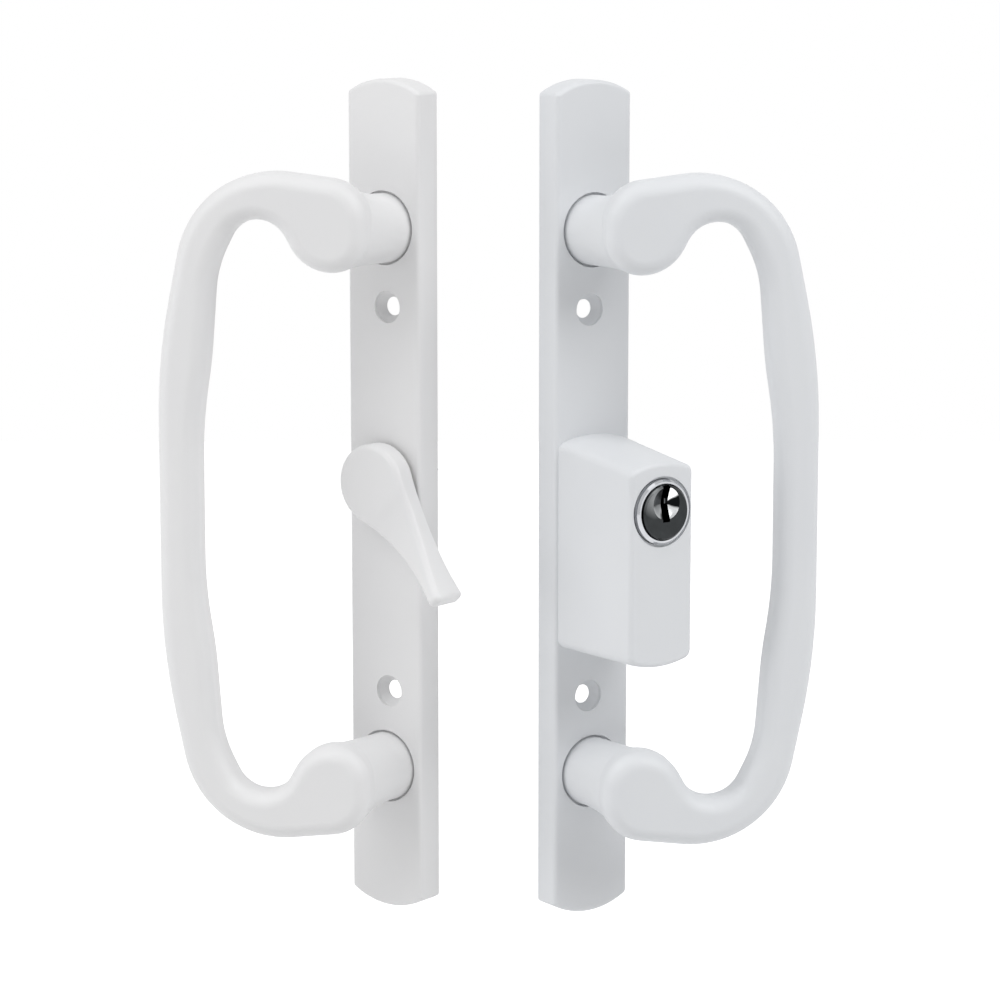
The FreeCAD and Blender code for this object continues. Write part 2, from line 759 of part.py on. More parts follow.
def driver_pin(index):
    """Spring-loaded pin that locks the plug, here pushed clear of it."""
    radius = chamber_radius - pin_gap
    top = driver_pin_top()
    return upright_disc(radius, top - driver_pin_length, top, pin_out(index))


def pin_spring(index):
    """Coil spring between a driver pin and the cover, its turns as a many-sided helix."""
    low = cylinder_height - tower_drop + pin_cover_thickness + spring_wire / 2
    high = driver_pin_top() - driver_pin_length - spring_wire / 2
    radius = chamber_radius - spring_gap - spring_wire / 2
    steps = spring_turns * spring_sides
    points = []
    for i in range(steps + 1):
        angle = 2 * math.pi * i / spring_sides
        points.append(Vec(radius * math.cos(angle), radius * math.sin(angle),
                          low + (high - low) * i / steps))
    path = Part.makePolygon(points)
    half = spring_wire / 2
    side = Vec(half, 0, 0)
    section = Part.makePolygon([points[0] - side - UP * half, points[0] + side - UP * half,
                                points[0] + side + UP * half, points[0] - side + UP * half,
                                points[0] - side - UP * half])
    spring = path.makePipeShell([section], True, False, 1)
    spring.translate(Vec(0, -pin_out(index), 0))
    return spring


def plug_clip():
    """Open retaining ring behind the shell that keeps the plug in."""
    front = shell_rear_out - clip_play * 1.5
    ring = disc(plug_clip_radius, front - clip_thickness, front, 0, cylinder_height)
    hole = disc(plug_radius - clip_groove_depth + tail_fit_gap, front - clip_thickness - OVERCUT,
                front + OVERCUT, 0, cylinder_height)
    mouth = block(-clip_gap_width / 2, clip_gap_width / 2, front - clip_thickness - OVERCUT,
                  front + OVERCUT, cylinder_height, cylinder_height + plug_clip_radius + OVERCUT)
    return ring.cut([hole, mouth])


def cylinder_tailpiece():
    """Flat strip in the plug's rear slot that turns the lock's hub."""
    half = key_tail_width / 2
    thick = key_tail_thickness / 2
    rear = -plate_thickness - tail_reach
    strip = block(-half, half, rear, plug_rear_out + key_tail_seat - tail_end_gap,
                  cylinder_height - thick, cylinder_height + thick)
    strip = strip.makeChamfer(tail_tip_bevel, edges_at(strip, rear))
    return strip.cut(tail_pin_hole(0.0))


def cylinder_retainer():
    """Stamped plate screwed behind the cylinder to hold it in the housing."""
    z = cylinder_height
    wide = retainer_half_width
    low = z - retainer_drop
    high = z + retainer_rise
    outline = rounded_wire([(-wide, low, retainer_foot_corner), (wide, low, retainer_foot_corner),
                            (wide, high, retainer_head_corner), (-wide, high, retainer_head_corner)])
    plate = prism(outline, shell_rear_out - retainer_thickness, shell_rear_out)
    holes = [disc(plug_clip_radius + retainer_hole_gap, 0, housing_out, 0, z)]
    for side in (-1, 1):
        holes.append(disc(retainer_screw_radius + grip_screw_slack, 0, housing_out,
                          side * retainer_screw_across, z - retainer_screw_drop))
    return plate.cut(holes)


def retainer_screw(side, slot_angle):
    """One of the two screws that hold the retainer to the housing."""
    seat_out = shell_rear_out - retainer_thickness
    return pan_screw(retainer_screw_radius, retainer_screw_length, retainer_screw_head_radius,
                     retainer_screw_head_height, seat_out, side * retainer_screw_across,
                     cylinder_height - retainer_screw_drop, slot_angle)


def place_inside(shape):
    """Put a piece of the inside half in the whole product's frame. The origin is the middle of
    the inside half's screw pattern, where the holes come out behind the plate's face wall."""
    shape.translate(Vec(-screw_hole_offset, -screw_wall, 0))
    shape.rotate(ORIGIN, UP, -inside_yaw)
    return shape


def place_outside(shape):
    """Put a piece of the outside half beside the inside half."""
    face_centre = place_inside(Part.Vertex(ORIGIN)).Point
    shape.rotate(ORIGIN, UP, outside_yaw)
    shape.translate(face_centre + Vec(halves_apart_across, halves_apart_deep, 0))
    return shape


def inside_half():
    """Named pieces of the inside half."""
    right_grip = grip()
    pieces = {"inside_plate": inside_plate(),
              "inside_grip": mirrored(right_grip),
              "inside_grip_screw_upper": grip_screw(half_pitch, 20),
              "inside_grip_screw_lower": grip_screw(-half_pitch, -35),
              "latch_lever": latch_lever(),
              "lever_bush": lever_bush(),
              "lever_spring_washer": lever_spring_washer(),
              "lever_clip": lever_clip(),
              "lever_tailpiece": lever_tailpiece()}
    return pieces, right_grip


def outside_half(right_grip):
    """Named pieces of the outside half."""
    pieces = {"outside_plate": outside_plate(),
              "outside_grip": right_grip.copy(),
              "outside_grip_screw_upper": grip_screw(half_pitch, -15),
              "outside_grip_screw_lower": grip_screw(-half_pitch, 40),
              "cylinder_shell": cylinder_shell(),
              "key_plug": key_plug(),
              "pin_cover": pin_cover_solid(0.0, 0.0),
              "plug_clip": plug_clip(),
              "cylinder_tailpiece": cylinder_tailpiece(),
              "tailpiece_pin": tail_pin_hole(thread_gap),
              "cylinder_retainer": cylinder_retainer(),
              "retainer_screw_left": retainer_screw(-1, -25),
              "retainer_screw_right": retainer_screw(1, 25)}
    for i in range(pin_count):
        pieces["key_pin_%d" % (i + 1)] = key_pin(i)
        pieces["driver_pin_%d" % (i + 1)] = driver_pin(i)
        pieces["pin_spring_%d" % (i + 1)] = pin_spring(i)
    return pieces


def main():
    os.makedirs("parts", exist_ok=True)
    inside, right_grip = inside_half()
    outside = outside_half(right_grip)
    placed = {name: place_inside(shape) for name, shape in inside.items()}
    placed.update({name: place_outside(shape) for name, shape in outside.items()})
    for name, shape in placed.items():
        shape.exportStep("parts/" + name + ".step")
        print("%-26s solids %d valid %s volume %.1f" % (name, len(shape.Solids), shape.isValid(),
                                                        shape.Volume))


main()
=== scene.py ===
# %% [markdown]
# # A handle set for a sliding patio door
# The set has an inside half with a latch lever and an outside half with a key cylinder. The CAD
# solids already have every piece at its real size, so this lesson dresses them: it smooths the
# castings, winds the springs and the screw threads with Geometry Nodes, and gives each metal and
# coating its own procedural material. All lengths are metres, in the frame of the CAD model: X to
# the right, Y away from the viewer, Z up.

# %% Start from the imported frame
import json
import math

import bmesh
import bpy
from mathutils import Matrix, Vector


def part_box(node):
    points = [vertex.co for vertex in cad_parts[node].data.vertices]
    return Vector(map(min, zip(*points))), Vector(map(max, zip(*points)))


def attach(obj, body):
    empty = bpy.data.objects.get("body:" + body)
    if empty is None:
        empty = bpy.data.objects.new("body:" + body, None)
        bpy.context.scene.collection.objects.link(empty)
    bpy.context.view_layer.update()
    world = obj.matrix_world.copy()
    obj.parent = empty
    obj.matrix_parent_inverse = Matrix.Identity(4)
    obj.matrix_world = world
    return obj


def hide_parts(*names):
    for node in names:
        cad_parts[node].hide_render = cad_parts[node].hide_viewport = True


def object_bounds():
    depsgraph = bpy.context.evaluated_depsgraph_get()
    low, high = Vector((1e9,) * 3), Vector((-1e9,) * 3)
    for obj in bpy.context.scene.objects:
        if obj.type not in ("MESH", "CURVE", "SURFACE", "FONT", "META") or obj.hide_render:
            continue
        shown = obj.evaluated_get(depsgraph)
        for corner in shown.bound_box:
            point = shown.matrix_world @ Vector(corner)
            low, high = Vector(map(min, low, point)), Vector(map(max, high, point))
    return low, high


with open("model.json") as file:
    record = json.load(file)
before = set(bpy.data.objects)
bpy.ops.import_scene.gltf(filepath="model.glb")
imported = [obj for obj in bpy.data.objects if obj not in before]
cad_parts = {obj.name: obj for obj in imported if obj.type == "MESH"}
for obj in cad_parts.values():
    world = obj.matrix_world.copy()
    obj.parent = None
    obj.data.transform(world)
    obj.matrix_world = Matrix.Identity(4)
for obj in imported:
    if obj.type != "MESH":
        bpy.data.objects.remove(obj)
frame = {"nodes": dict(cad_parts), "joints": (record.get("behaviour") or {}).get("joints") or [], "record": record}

cad_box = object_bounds()
scene = bpy.context.scene
MM = 0.001

# %% [markdown]
# ## Where the key cylinder and the lever turn
# The record holds each joint's point and axis. Reading them keeps every ring, turned face and
# thread of this file centred on the real axes, with no number typed twice.

# %% Read the two axes
joints = {joint["name"]: joint for joint in frame["joints"]}
lever_axis = Vector(joints["lever_turn"]["axis"])
key_axis = Vector(joints["key_turn"]["axis"])
key_point = Vector(joints["key_turn"]["pos_m"])


def half_turn(normal):
    """Angle by which a half with this outward normal is turned about Z."""
    return math.atan2(normal.x, -normal.y)


inside_yaw = half_turn(-lever_axis)
outside_yaw = half_turn(key_axis)
print("inside half turned by", round(math.degrees(inside_yaw), 1), "degrees")
print("outside half turned by", round(math.degrees(outside_yaw), 1), "degrees")

# %% [markdown]
# ## Helpers for materials
# Paint charts and photographs give colours as sRGB hex values, while Blender mixes light in linear
# values, so one function converts them. A second one adds a node to a tree, sets it up and links
# it, which keeps each recipe below short enough to read at a glance. The other two start a material
# and turn a size in millimetres into the scale of a noise.

# %% Colour and node helpers
def to_linear(hex_colour):
    """sRGB hex value to the linear colour that Blender works with."""
    parts = [int(hex_colour[i:i + 2], 16) / 255 for i in (1, 3, 5)]
    return [p / 12.92 if p <= 0.04045 else ((p + 0.055) / 1.055) ** 2.4 for p in parts] + [1.0]


def add_node(tree, kind, inputs=None, **settings):
    """Add a node, apply its settings, and fill or link its inputs."""
    node = tree.nodes.new(kind)
    for name, value in settings.items():
        setattr(node, name, value)
    for socket, value in (inputs or {}).items():
        if isinstance(value, bpy.types.NodeSocket):
            tree.links.new(value, node.inputs[socket])
        else:
            node.inputs[socket].default_value = value
    return node


def new_material(name):
    """Empty material with its output and the coordinates that follow the piece."""
    material = bpy.data.materials.new(name)
    material.use_nodes = True
    tree = material.node_tree
    tree.nodes.clear()
    output = tree.nodes.new("ShaderNodeOutputMaterial")
    place = tree.nodes.new("ShaderNodeTexCoord").outputs["Object"]
    return material, tree, output, place


def grain_scale(size_mm):
    """Noise scale whose blotches are about this many millimetres across."""
    return 1.0 / (size_mm * MM)


print("mid grey in linear light:", [round(c, 3) for c in to_linear("#808080")])

# %% [markdown]
# ## White polyester powder coat on zinc die-casting
# Plates, grips and lever are zinc castings with a baked powder coat. The powder flows out into a
# satin skin with a faint orange peel, waves about a millimetre wide. That is too shallow to see as
# relief, but it breaks up the edge of each reflection. The film also varies a little in thickness
# over a few centimetres, which shifts the white by a shade.

# %% Powder coat
def powder_coat(name, light_hex, shade_hex):
    material, tree, output, place = new_material(name)
    film = add_node(tree, "ShaderNodeTexNoise",
                    {"Vector": place, "Scale": grain_scale(38.0), "Detail": 2.0, "Roughness": 0.5})
    tint = add_node(tree, "ShaderNodeMix",
                    {"Factor": film.outputs["Fac"], "A": to_linear(light_hex),
                     "B": to_linear(shade_hex)}, data_type="RGBA")
    peel = add_node(tree, "ShaderNodeTexNoise",
                    {"Vector": place, "Scale": grain_scale(1.1), "Detail": 2.0, "Roughness": 0.45})
    gloss = add_node(tree, "ShaderNodeMapRange",
                     {"Value": peel.outputs["Fac"], "To Min": 0.44, "To Max": 0.54})
    relief = add_node(tree, "ShaderNodeBump",
                      {"Height": peel.outputs["Fac"], "Strength": 0.10, "Distance": 0.03 * MM})
    skin = add_node(tree, "ShaderNodeBsdfPrincipled",
                    {"Base Color": tint.outputs["Result"], "Roughness": gloss.outputs["Result"],
                     "Normal": relief.outputs["Normal"], "IOR": 1.5})
    tree.links.new(skin.outputs["BSDF"], output.inputs["Surface"])
    return material


inside_coat = powder_coat("powder_coat_inside", "#E4E4E4", "#DFDFE0")
# The outside coat is the same white painted darker and cooler: painted shade on the outside half.
outside_coat_painted_shade = powder_coat("powder_coat_outside_painted_shade", "#DEE0E2", "#D8DADD")
print("made", inside_coat.name, "and", outside_coat_painted_shade.name)

# %% [markdown]
# ## Metals turned on a lathe: chrome, nickel painted dark and brass
# The cylinder's rim, the plug's face and the pins are turned, so their finest marks are rings about
# the part's own axis. A Mapping node moves the pattern's centre onto that axis and lays the axis
# along the pattern's Z, and a Wave texture of rings draws the tool marks. Real marks are a tenth of
# a millimetre apart and hardly show. Here they are shallow waves nearly two millimetres apart, which
# bend a reflection a little. The texture runs through 20 radians in a unit of length and a wave takes
# 2 pi of them, so both go into its scale.

# %% Turned metal
RINGS_APART = 1.885    # millimetres
WAVE_RADIANS = 20


def about_key(tree, place, centre):
    """Coordinates round a centre, with the cylinder's axis along their Z."""
    return add_node(tree, "ShaderNodeMapping",
                    {"Vector": place, "Location": centre,
                     "Rotation": (math.radians(90), 0, outside_yaw)},
                    vector_type="TEXTURE").outputs["Vector"]


def turned_metal(name, base_hex, worn_hex, low, high, painted_highlight=None):
    """Metal with rings about the cylinder's axis. A painted highlight, given by its middle, radius and
    colour, is a round spot painted lighter towards its middle."""
    material, tree, output, place = new_material(name)
    rings = add_node(tree, "ShaderNodeTexWave",
                     {"Vector": about_key(tree, place, key_point),
                      "Scale": grain_scale(RINGS_APART) * math.tau / WAVE_RADIANS,
                      "Distortion": 0.4, "Detail": 2.0}, wave_type="RINGS", rings_direction="Z")
    haze = add_node(tree, "ShaderNodeTexNoise",
                    {"Vector": place, "Scale": grain_scale(2.5), "Detail": 3.0})
    colour = add_node(tree, "ShaderNodeMix",
                      {"Factor": haze.outputs["Fac"], "A": to_linear(base_hex),
                       "B": to_linear(worn_hex)}, data_type="RGBA")
    shade = colour.outputs["Result"]
    if painted_highlight:
        spot, radius, highlight_hex = painted_highlight
        # The painted highlight: colour lighter towards the middle of a round spot.
        round_spot = add_node(tree, "ShaderNodeMapping",
                              {"Vector": place, "Location": spot, "Scale": (radius,) * 3},
                              vector_type="TEXTURE")
        near = add_node(tree, "ShaderNodeTexGradient", {"Vector": round_spot.outputs["Vector"]},
                        gradient_type="SPHERICAL")
        shade = add_node(tree, "ShaderNodeMix",
                         {"Factor": near.outputs["Fac"], "A": shade, "B": to_linear(highlight_hex)},
                         data_type="RGBA").outputs["Result"]
    gloss = add_node(tree, "ShaderNodeMapRange",
                     {"Value": haze.outputs["Fac"], "To Min": low, "To Max": high})
    relief = add_node(tree, "ShaderNodeBump",
                      {"Height": rings.outputs["Fac"], "Strength": 0.12, "Distance": 0.01 * MM})
    metal = add_node(tree, "ShaderNodeBsdfPrincipled",
                     {"Base Color": shade, "Roughness": gloss.outputs["Result"],
                      "Normal": relief.outputs["Normal"], "Metallic": 1.0})
    tree.links.new(metal.outputs["BSDF"], output.inputs["Surface"])
    return material


# Painted highlight: a lighter round spot on the plug's face, above and to the left of the keyway.
HIGHLIGHT_OUT, HIGHLIGHT_LEFT, HIGHLIGHT_UP, HIGHLIGHT_RADIUS = 30.0 * MM, 3.0 * MM, 3.6 * MM, 5.0 * MM
across = Vector((math.cos(outside_yaw), math.sin(outside_yaw), 0))
highlight_point = key_point + key_axis * HIGHLIGHT_OUT - across * HIGHLIGHT_LEFT + Vector((0, 0, HIGHLIGHT_UP))
chrome = turned_metal("chrome_plate_on_brass", "#C0C1C4", "#A9ABAF", 0.06, 0.14)
# The plug's face is polished nickel whose dark base colour is a painted dark reflection.
nickel_painted_dark = turned_metal("polished_nickel_painted_dark", "#3A3C3D", "#2E3031", 0.12, 0.22,
                           (highlight_point, HIGHLIGHT_RADIUS, "#8F9192"))
brass = turned_metal("turned_brass", "#D9B968", "#C6A24E", 0.18, 0.30)
print("made", chrome.name, nickel_painted_dark.name, brass.name)

# %% [markdown]
# ## The dished mouth of the keyway
# A key finds its slot through a small dish cut into the plug's face. Light and dark wedges round its
# centre are painted reflections, put into the dish's colour. A radial gradient gives the angle round
# the dish, and a ramp turns that angle into the wedges. The same ramp makes the dark wedges rough
# and the light ones smooth.

# %% Dish with painted reflections
DISH_RISE = 2.3 * MM
dish_point = key_point + Vector((0, 0, DISH_RISE))
# Painted reflections: light and dark wedges round the dish, painted into its base colour.
PAINTED_REFLECTION_WEDGES = ((0.00, "#3A3B3C"), (0.03, "#8E9091"), (0.15, "#A9ABAC"), (0.19, "#141516"),
          (0.27, "#101112"), (0.30, "#B9BBBC"), (0.42, "#CFD0D1"), (0.455, "#101112"),
          (0.565, "#111213"), (0.60, "#F4F4F4"), (0.69, "#F6F6F6"), (0.725, "#131415"),
          (0.86, "#202122"), (0.93, "#4B4D4F"))


def dish_with_painted_reflections(name):
    material, tree, output, place = new_material(name)
    wedge_wobble = add_node(tree, "ShaderNodeTexNoise",
                     {"Vector": place, "Scale": grain_scale(1.2), "Detail": 3.0})
    shift = add_node(tree, "ShaderNodeMapRange",
                     {"Value": wedge_wobble.outputs["Fac"], "To Min": -0.02, "To Max": 0.02})
    angle = add_node(tree, "ShaderNodeTexGradient", {"Vector": about_key(tree, place, dish_point)},
                     gradient_type="RADIAL")
    wavy = add_node(tree, "ShaderNodeMath", {0: angle.outputs["Fac"], 1: shift.outputs["Result"]})
    wedges = add_node(tree, "ShaderNodeValToRGB", {"Fac": wavy.outputs[0]})
    stops = wedges.color_ramp.elements
    for place_on_ramp, shade in PAINTED_REFLECTION_WEDGES[1:-1]:
        stops.new(place_on_ramp).color = to_linear(shade)
    stops[0].position, stops[0].color = PAINTED_REFLECTION_WEDGES[0][0], to_linear(PAINTED_REFLECTION_WEDGES[0][1])
    stops[-1].position, stops[-1].color = PAINTED_REFLECTION_WEDGES[-1][0], to_linear(PAINTED_REFLECTION_WEDGES[-1][1])
    bright = add_node(tree, "ShaderNodeRGBToBW", {"Color": wedges.outputs["Color"]})
    gloss = add_node(tree, "ShaderNodeMapRange",
                     {"Value": bright.outputs["Val"], "To Min": 0.45, "To Max": 0.12})
    relief = add_node(tree, "ShaderNodeBump",
                      {"Height": wedge_wobble.outputs["Fac"], "Strength": 0.2, "Distance": 0.02 * MM})
    metal = add_node(tree, "ShaderNodeBsdfPrincipled",
                     {"Base Color": wedges.outputs["Color"], "Roughness": gloss.outputs["Result"],
                      "Normal": relief.outputs["Normal"], "Metallic": 1.0})
    tree.links.new(metal.outputs["BSDF"], output.inputs["Surface"])
    return material


painted_dish_metal = dish_with_painted_reflections("keyway_dish_painted_reflections")
print("made", painted_dish_metal.name, "with", len(PAINTED_REFLECTION_WEDGES), "shades round the dish")

# %% [markdown]
# ## Zinc-plated steel and moulded nylon
# Screws, clips, tailpieces and the retainer are stamped or headed steel with a thin zinc plate. Its
# passivation leaves clouds that lean to blue in one place and to straw in another. The lever's
# bush is natural nylon: milky, a little waxy, with light that goes some way in.

# %% Zinc plate and nylon
def zinc_plate(name):
    material, tree, output, place = new_material(name)
    clouds = add_node(tree, "ShaderNodeTexNoise",
                      {"Vector": place, "Scale": grain_scale(4.0), "Detail": 4.0})
    colour = add_node(tree, "ShaderNodeMix",
                      {"Factor": clouds.outputs["Fac"], "A": to_linear("#B4BAC4"),
                       "B": to_linear("#C9C6BA")}, data_type="RGBA")
    crystals = add_node(tree, "ShaderNodeTexNoise",
                        {"Vector": place, "Scale": grain_scale(0.35), "Detail": 2.0})
    gloss = add_node(tree, "ShaderNodeMapRange",
                     {"Value": crystals.outputs["Fac"], "To Min": 0.26, "To Max": 0.44})
    relief = add_node(tree, "ShaderNodeBump",
                      {"Height": crystals.outputs["Fac"], "Strength": 0.2, "Distance": 0.01 * MM})
    metal = add_node(tree, "ShaderNodeBsdfPrincipled",
                     {"Base Color": colour.outputs["Result"], "Roughness": gloss.outputs["Result"],
                      "Normal": relief.outputs["Normal"], "Metallic": 1.0})
    tree.links.new(metal.outputs["BSDF"], output.inputs["Surface"])
    return material


def natural_nylon(name):
    material, tree, output, place = new_material(name)
    cloud = add_node(tree, "ShaderNodeTexNoise",
                     {"Vector": place, "Scale": grain_scale(3.0), "Detail": 2.0})
    colour = add_node(tree, "ShaderNodeMix",
                      {"Factor": cloud.outputs["Fac"], "A": to_linear("#ECE8DC"),
                       "B": to_linear("#E2DDCF")}, data_type="RGBA")
    relief = add_node(tree, "ShaderNodeBump",
                      {"Height": cloud.outputs["Fac"], "Strength": 0.1, "Distance": 0.02 * MM})
    body = add_node(tree, "ShaderNodeBsdfPrincipled",
                    {"Base Color": colour.outputs["Result"], "Roughness": 0.42, "IOR": 1.53,
                     "Normal": relief.outputs["Normal"]})
    tree.links.new(body.outputs["BSDF"], output.inputs["Surface"])
    return material


zinc = zinc_plate("zinc_plated_steel")
nylon = natural_nylon("natural_nylon")
print("made", zinc.name, nylon.name)

# %% [markdown]
# ## Which finish each CAD node wears
# Every solid of the set gets one of the finishes above, also those that only show once the handle
# is taken apart.

# %% Dress the CAD nodes
def finish_of(node):
    """Finish of a CAD node, from what the piece is."""
    if node in ("inside_plate", "inside_grip", "latch_lever"):
        return inside_coat, "white_paint"
    if node in ("outside_plate", "outside_grip"):
        return outside_coat_painted_shade, "white_paint"
    if node == "cylinder_shell":
        return chrome, "chrome_plate"
    if node == "key_plug":
        return nickel_painted_dark, "dark_chrome"
    if node == "lever_bush":
        return nylon, "white_nylon"
    if node == "pin_cover" or node.startswith(("key_pin", "driver_pin")):
        return brass, "brass"
    return zinc, "zinc_steel"


for name, node in frame["nodes"].items():
    node.data.materials.clear()
    node.data.materials.append(finish_of(name)[0])
print("dressed", len(frame["nodes"]), "nodes")

# %% [markdown]
# ## Normals that keep flat walls flat
# A casting has broad flat walls that end in small rounded edges. Smooth shading spreads the turn of
# a rounded edge over the wall beside it, which leaves streaks there. Blender can weigh the faces
# round a point by their area, but a wall is made of many slivers, and some are smaller than the
# edge's facets. So here each face counts by the area of the whole flat region that it is part of.
# Faces that meet at a sharp edge keep normals of their own.

# %% Corner normals
SAME_PLANE = math.cos(math.radians(0.5))


def flat_areas(body):
    """For each face, the area of the flat region that it is part of."""
    area = {}
    for start in body.faces:
        if start in area:
            continue
        region, waiting = {start}, [start]
        while waiting:
            for edge in waiting.pop().edges:
                for face in edge.link_faces:
                    if face not in region and face.normal.dot(start.normal) > SAME_PLANE:
                        region.add(face)
                        waiting.append(face)
        area.update(dict.fromkeys(region, sum(face.calc_area() for face in region)))
    return area


def smooth_fan(corner, left):
    """Corners round a point that are joined to this one by smooth edges, taken out of left."""
    fan, waiting = [], [corner]
    while waiting:
        corner = waiting.pop()
        fan.append(corner)
        for edge in (corner.edge, corner.link_loop_prev.edge):
            if edge.smooth:
                near = {other for other in left if edge in (other.edge, other.link_loop_prev.edge)}
                left -= near
                waiting.extend(near)
    return fan


def corner_normals(body):
    """Normals of all corners, in the order of the mesh."""
    area = flat_areas(body)
    normal_at = {}
    for point in body.verts:
        left = set(point.link_loops)
        while left:
            fan = smooth_fan(left.pop(), left)
            total = sum((c.face.normal * c.calc_angle() * area[c.face] for c in fan), Vector())
            normal_at.update(dict.fromkeys(fan, total.normalized()))
    return [normal_at[corner] for face in body.faces for corner in face.loops]


print("faces within", round(math.degrees(math.acos(SAME_PLANE)), 2), "degrees count as one plane")

# %% [markdown]
# ## Smooth castings
# A CAD node arrives as loose triangles, so light falls on each facet apart. In a copy, doubled
# points are merged, edges sharper than an angle are marked, and the rest is shaded as one skin with
# the normals above. The copy has exactly the solid's form and takes its place, on the same body and
# with the same finish.

# %% Smooth a copy of each casting
MERGE_WITHIN = 0.001 * MM
CASTING_SHARP = math.radians(32)


def smooth_copy(node, name):
    """Merged and smooth-shaded copy of a CAD node that stands for it."""
    body = bmesh.new()
    body.from_mesh(frame["nodes"][node].data)
    bmesh.ops.remove_doubles(body, verts=body.verts, dist=MERGE_WITHIN)
    for face in body.faces:
        face.smooth = True
    for edge in body.edges:
        edge.smooth = edge.is_manifold and edge.calc_face_angle() < CASTING_SHARP
    normals = corner_normals(body)
    mesh = bpy.data.meshes.new(name)
    body.to_mesh(mesh)
    body.free()
    mesh.normals_split_custom_set(normals)
    piece = bpy.data.objects.new(name, mesh)
    scene.collection.objects.link(piece)
    return piece


def stand_in(piece, body, *nodes):
    """Give a piece its finish and its body, and hide the CAD nodes that it shows."""
    material, slot = finish_of(nodes[0])
    piece.data.materials.clear()
    piece.data.materials.append(material)
    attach(piece, body)
    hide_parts(*nodes)
    print(piece.name, len(piece.data.polygons), "faces")


CASTINGS = {"inside_plate": ("root", "casting"), "inside_grip": ("root", "casting"),
            "latch_lever": ("latch", "casting"), "outside_plate": ("root", "casting"),
            "outside_grip": ("root", "casting"), "cylinder_shell": ("root", "turned"),
            "key_plug": ("plug", "turned")}
for node, (body, made) in CASTINGS.items():
    stand_in(smooth_copy(node, node + "_" + made), body, node)

# %% [markdown]
# ## Give the dish its own material, with painted reflections
# A mesh can carry several materials, and each face says by a number which one it wears. The dish's
# faces are the sloping ones round its axis just behind the plug's front face.

# %% Faces of the dish
DISH_RADIUS = 4.15 * MM
DISH_DEPTH = 1.35 * MM
DISH_SLOPE = (0.2, 0.99)    # cosine of the angle between a sloping face's normal and the axis


def dish_faces(mesh):
    """Sloping faces of the plug that lie within the dish."""
    front = max(v.co.dot(key_axis) for v in mesh.vertices)
    found = []
    for face in mesh.polygons:
        out = face.center.dot(key_axis)
        offset = face.center - dish_point
        across = (offset - key_axis * offset.dot(key_axis)).length
        sloping = DISH_SLOPE[0] < face.normal.dot(key_axis) < DISH_SLOPE[1]
        if across < DISH_RADIUS and front - DISH_DEPTH < out < front and sloping:
            found.append(face)
    return found


plug = bpy.data.objects["key_plug_turned"]
plug.data.materials.append(painted_dish_metal)
painted_dish_faces = dish_faces(plug.data)
for face in painted_dish_faces:
    face.material_index = 1
print("the dish has", len(painted_dish_faces), "faces")

# %% [markdown]
# ## Coils: springs and screw threads
# A spring is a round wire wound on a helix, and a thread is a V-shaped ridge wound on a helix, so one
# Geometry Nodes tree makes both. It winds a spiral curve, sweeps a small circle of a few sides along
# it and puts copies in a row. With three sides the circle is a triangle whose tip points outwards,
# which is a thread's ridge. Sizes go in as named inputs, and what the coil sits on, such as a
# screw's shank and head, goes in as the piece's own mesh.

# %% Coil tree
SIZES = {"First": "NodeSocketVector", "Step": "NodeSocketVector", "Turn": "NodeSocketVector",
         "Count": "NodeSocketInt", "Turns": "NodeSocketFloat", "Height": "NodeSocketFloat",
         "Radius": "NodeSocketFloat", "Wire": "NodeSocketFloat", "Wire sides": "NodeSocketInt",
         "Steps per turn": "NodeSocketInt", "Finish": "NodeSocketMaterial"}
coil_tree = bpy.data.node_groups.new("row_of_coils", "GeometryNodeTree")
coil_tree.interface.new_socket(name="Core", in_out="INPUT", socket_type="NodeSocketGeometry")
coil_input = {name: coil_tree.interface.new_socket(name=name, in_out="INPUT", socket_type=kind)
              for name, kind in SIZES.items()}
coil_tree.interface.new_socket(name="Coils", in_out="OUTPUT", socket_type="NodeSocketGeometry")
size = coil_tree.nodes.new("NodeGroupInput").outputs
helix = add_node(coil_tree, "GeometryNodeCurveSpiral",
                 {"Resolution": size["Steps per turn"], "Rotations": size["Turns"],
                  "Start Radius": size["Radius"], "End Radius": size["Radius"],
                  "Height": size["Height"]})
upright = add_node(coil_tree, "GeometryNodeSetCurveNormal", {"Curve": helix.outputs["Curve"]},
                   mode="Z_UP")
ring = add_node(coil_tree, "GeometryNodeCurvePrimitiveCircle",
                {"Resolution": size["Wire sides"], "Radius": size["Wire"]})
wire = add_node(coil_tree, "GeometryNodeCurveToMesh",
                {"Curve": upright.outputs["Curve"], "Profile Curve": ring.outputs["Curve"],
                 "Fill Caps": True})
row = add_node(coil_tree, "GeometryNodeMeshLine",
               {"Count": size["Count"], "Start Location": size["First"], "Offset": size["Step"]})
copies = add_node(coil_tree, "GeometryNodeInstanceOnPoints",
                  {"Points": row.outputs["Mesh"], "Instance": wire.outputs["Mesh"],
                   "Rotation": size["Turn"]})
joined = add_node(coil_tree, "GeometryNodeJoinGeometry", {"Geometry": size["Core"]})
coil_tree.links.new(copies.outputs["Instances"], joined.inputs["Geometry"])
real = add_node(coil_tree, "GeometryNodeRealizeInstances",
                {"Geometry": joined.outputs["Geometry"]})
dressed = add_node(coil_tree, "GeometryNodeSetMaterial",
                   {"Geometry": real.outputs["Geometry"], "Material": size["Finish"]})
add_node(coil_tree, "NodeGroupOutput", {"Coils": dressed.outputs["Geometry"]})
print("coil tree has", len(coil_tree.nodes), "nodes and", len(coil_input), "sizes")

# %% [markdown]
# ## Wind a row of coils
# The helper hangs the tree on a piece, fills its inputs by their identifiers and bakes the result
# into a plain mesh. The wire is shaded smooth, and a thread keeps its sharp crest.

